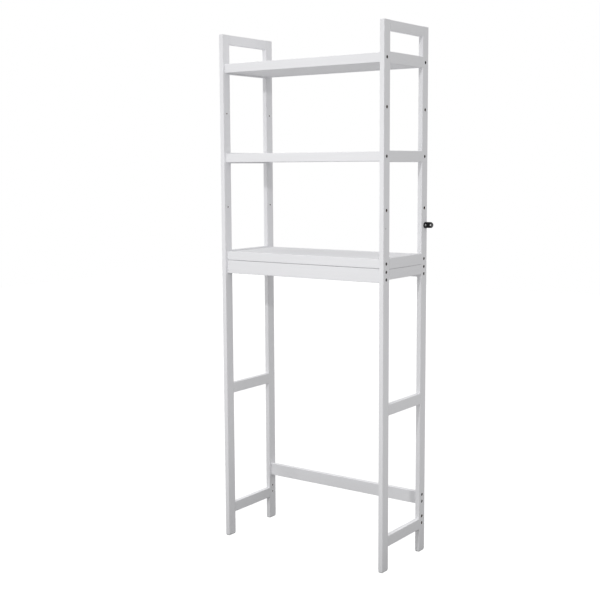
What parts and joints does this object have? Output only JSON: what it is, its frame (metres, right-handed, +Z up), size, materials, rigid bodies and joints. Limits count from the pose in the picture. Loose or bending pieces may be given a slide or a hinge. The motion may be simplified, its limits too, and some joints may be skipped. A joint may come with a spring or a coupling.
{
  "type": "over the toilet storage rack",
  "caption": "Tall open rack that stands astride a toilet: ladder-shaped side frames carry flat shelves above the tank and a low rear stretcher ties the legs.",
  "frame": {"origin": "on the floor, under the middle of the rack", "axes": "+X to the rack's right side as seen from the front, +Y towards the wall, +Z up"},
  "size_m": [0.661, 0.26, 1.65],
  "materials": {
    "white_paint": "satin white paint on planed wood",
    "white_panel": "satin white paint on board",
    "black_bolt": "black oxide",
    "black_bracket": "black powder coat",
    "zinc_steel": "zinc plated",
    "beech_dowel": "bare fluted beech",
    "foot_pad": "matt"
  },
  "bodies": {
    "root": {"upper_post_left_front": "white_paint", "upper_post_left_rear": "white_paint", "upper_post_right_front": "white_paint", "upper_post_right_rear": "white_paint", "lower_post_left_front": "white_paint", "lower_post_left_rear": "white_paint", "lower_post_right_front": "white_paint", "lower_post_right_rear": "white_paint", "handle_rail_left": "white_paint", "handle_rail_right": "white_paint", "top_side_rail_left": "white_paint", "top_side_rail_right": "white_paint", "middle_side_rail_left": "white_paint", "middle_side_rail_right": "white_paint", "bottom_side_rail_left": "white_paint", "bottom_side_rail_right": "white_paint", "join_rail_left": "white_paint", "join_rail_right": "white_paint", "leg_rail_left": "white_paint", "leg_rail_right": "white_paint", "foot_rail_left": "white_paint", "foot_rail_right": "white_paint", "top_shelf_front_board": "white_paint", "top_shelf_rear_board": "white_paint", "top_shelf_panel": "white_panel", "middle_shelf_front_board": "white_paint", "middle_shelf_rear_board": "white_paint", "middle_shelf_panel": "white_panel", "bottom_shelf_front_board": "white_paint", "bottom_shelf_rear_board": "white_paint", "bottom_shelf_panel": "white_panel", "front_apron": "white_paint", "rear_apron": "white_paint", "rear_stretcher": "white_paint", "upper_frame_dowels": "beech_dowel", "lower_frame_dowels": "beech_dowel", "shelf_dowels": "beech_dowel", "frame_joint_pins": "beech_dowel", "top_shelf_bolts": "black_bolt", "middle_shelf_bolts": "black_bolt", "bottom_shelf_bolts": "black_bolt", "apron_bolts": "black_bolt", "stretcher_bolts": "black_bolt", "top_shelf_inserts": "zinc_steel", "middle_shelf_inserts": "zinc_steel", "bottom_shelf_inserts": "zinc_steel", "apron_inserts": "zinc_steel", "stretcher_inserts": "zinc_steel", "wall_bracket_left": "black_bracket", "wall_bracket_right": "black_bracket", "bracket_screws": "zinc_steel", "foot_pads": "foot_pad"}
  },
  "joints": []
}
